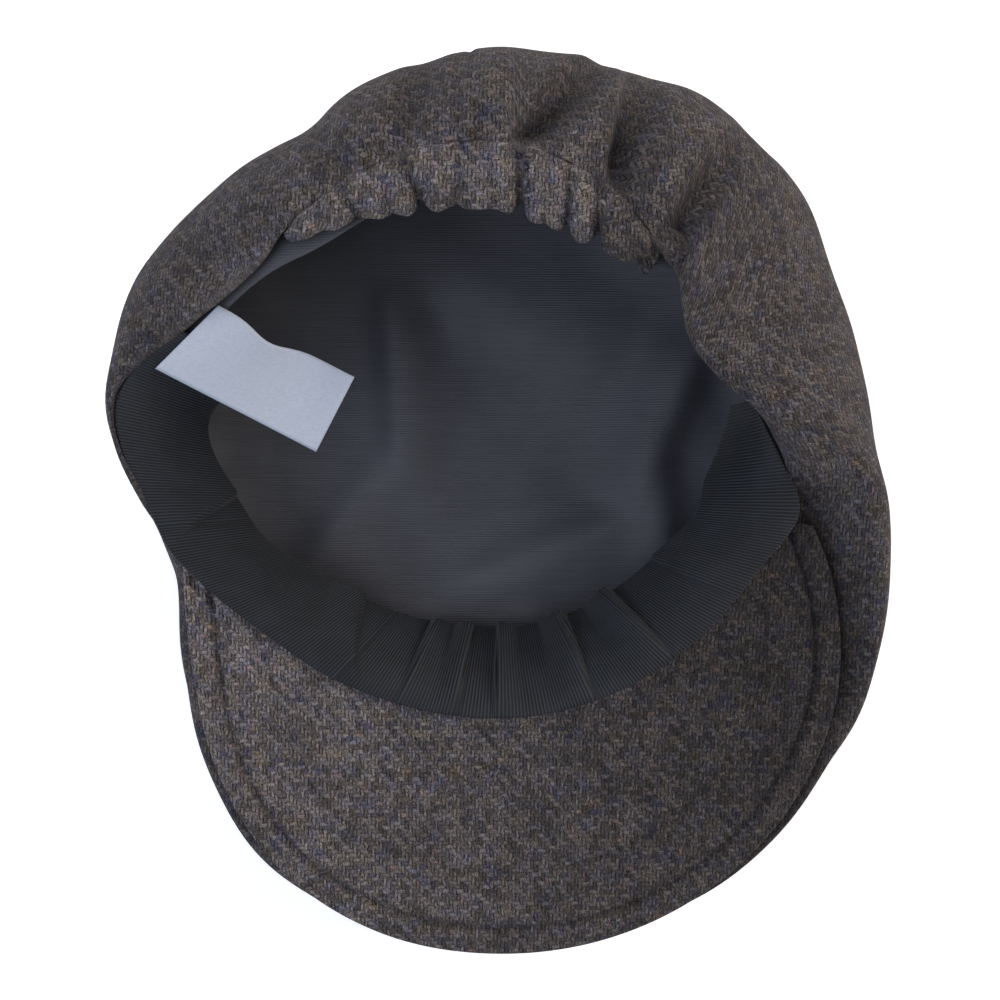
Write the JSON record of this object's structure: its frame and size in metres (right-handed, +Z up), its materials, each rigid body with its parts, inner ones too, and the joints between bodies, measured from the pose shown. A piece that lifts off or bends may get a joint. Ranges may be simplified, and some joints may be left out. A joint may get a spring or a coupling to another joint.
{
  "type": "flat cap",
  "caption": "Soft tweed flat cap lying on its crown, open upwards: hollow shell gathered behind, stiffened crescent peak, ribbon sweatband, lining bag and bare care label.",
  "frame": {"origin": "on the ground under the middle of the cap's footprint, the cap lying on its crown with the head opening upwards", "axes": "+Z up, -Y towards the peak's front edge, +X to the right as the picture shows it"},
  "size_m": [0.213, 0.251, 0.0911],
  "materials": {
    "tweed": "matt woven wool tweed, grey-brown with blue, olive and rust flecks",
    "grosgrain": "black ribbed ribbon, low sheen",
    "lining_cloth": "charcoal smooth lining, soft sheen",
    "label_satin": "white satin tape"
  },
  "bodies": {
    "root": {"crown": "tweed", "back_casing": "tweed", "peak": "tweed", "sweatband": "grosgrain", "lining": "lining_cloth", "care_label": "label_satin"}
  },
  "joints": []
}
